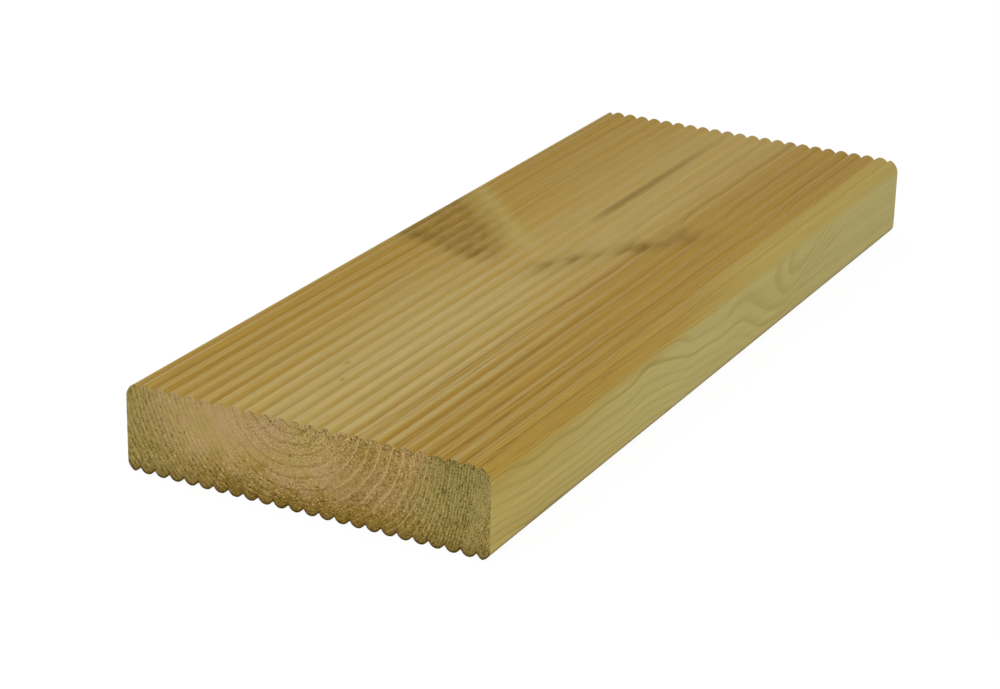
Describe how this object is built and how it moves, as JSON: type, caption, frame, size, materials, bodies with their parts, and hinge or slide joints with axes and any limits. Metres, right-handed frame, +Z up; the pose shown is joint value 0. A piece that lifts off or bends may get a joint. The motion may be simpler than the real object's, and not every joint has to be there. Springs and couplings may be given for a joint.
{
  "type": "decking board",
  "caption": "Short length of treated softwood decking, reeded on both broad faces, with rounded long edges and square-cut ends; laid across joists as an outdoor floor.",
  "frame": {"origin": "middle of the underside, level with the crests of the lower reeds", "axes": "+X across the width, +Y along the length and the grain, +Z up through the thickness towards the face with the larger edge radius"},
  "size_m": [0.145, 0.38, 0.034],
  "materials": {
    "treated_pine": "satin"
  },
  "bodies": {
    "root": {"decking_board": "treated_pine"}
  },
  "joints": []
}
